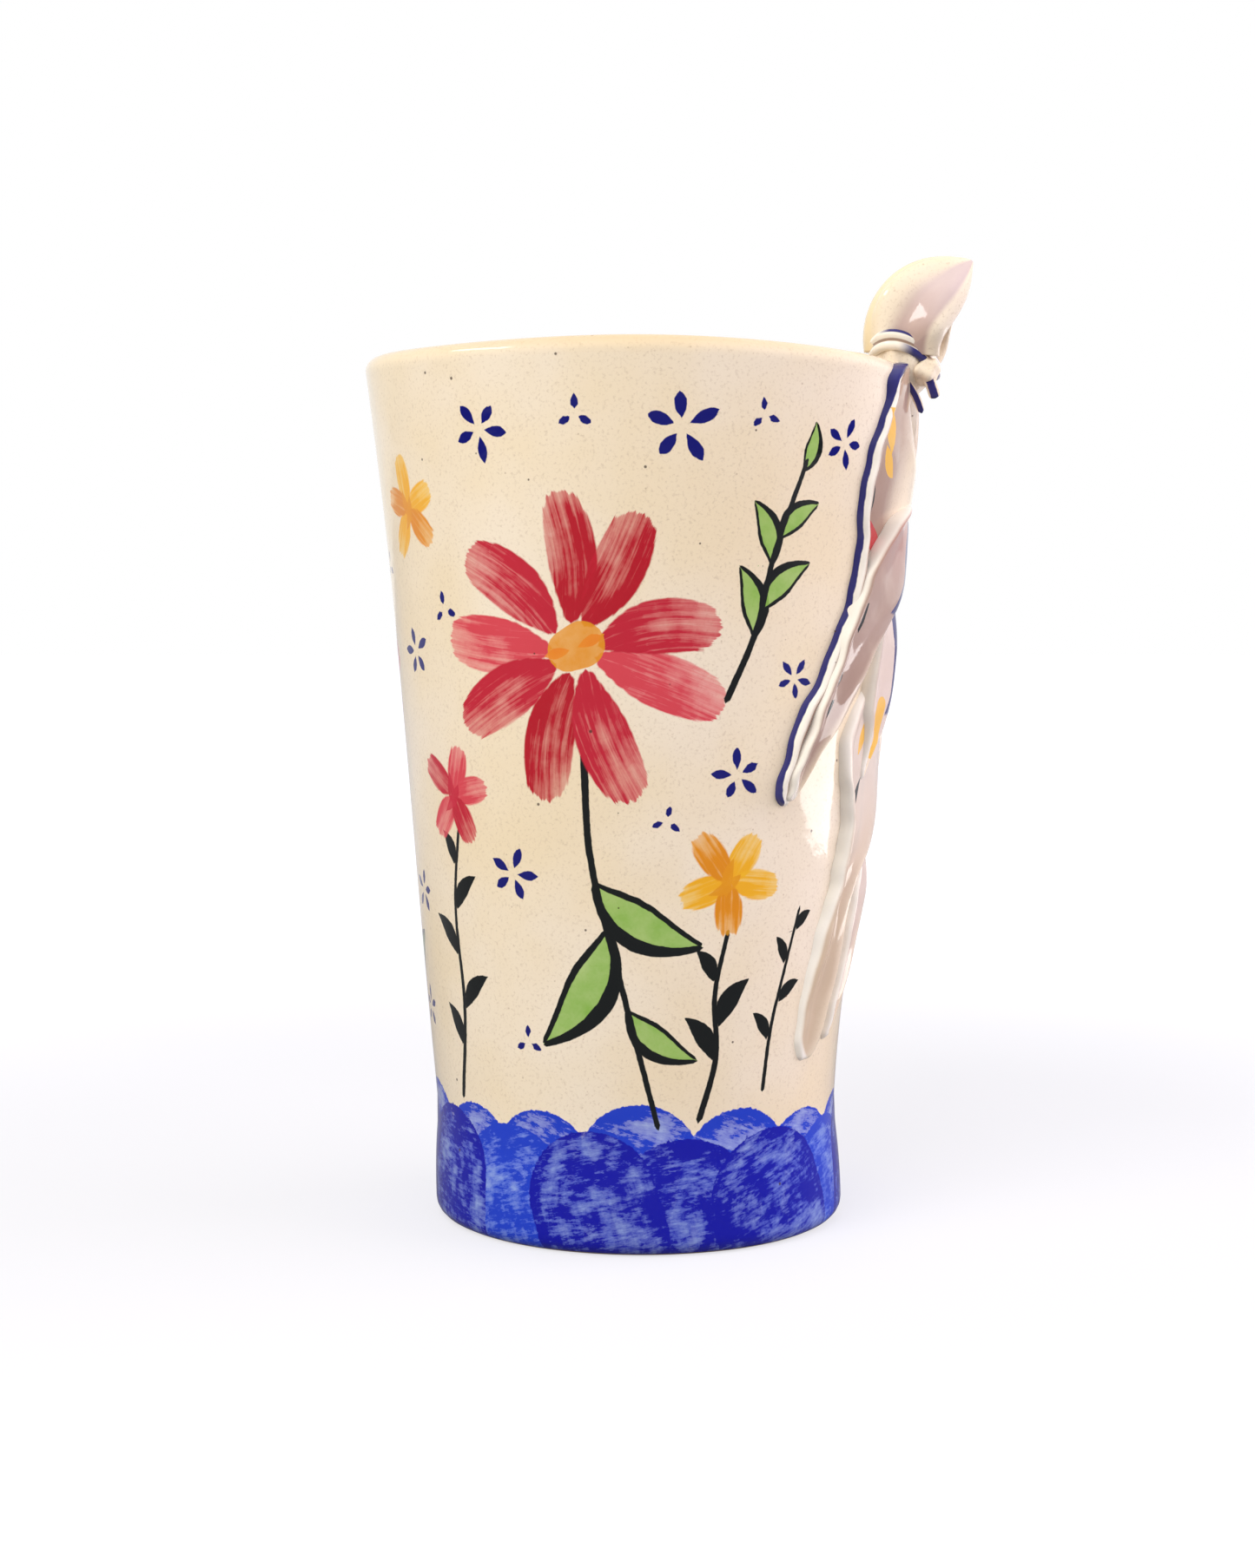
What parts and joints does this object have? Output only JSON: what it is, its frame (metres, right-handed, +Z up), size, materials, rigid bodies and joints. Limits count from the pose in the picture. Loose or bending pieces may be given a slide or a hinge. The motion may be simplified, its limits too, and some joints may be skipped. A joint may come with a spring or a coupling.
{
  "type": "tumbler",
  "caption": "Tall handmade stoneware tumbler, flaring to a round lip, with one side of its wall gathered at the lip, tied like cloth and falling in folds.",
  "frame": {"origin": "centre of the flat underside, on the plane the tumbler stands on", "axes": "+Z up out of the mouth; -Y towards the viewer of the picture; +X to the right, where the tie is"},
  "size_m": [0.1015, 0.093, 0.1614],
  "materials": {
    "glazed_stoneware": "gloss"
  },
  "bodies": {
    "root": {"tumbler": "glazed_stoneware"}
  },
  "joints": []
}
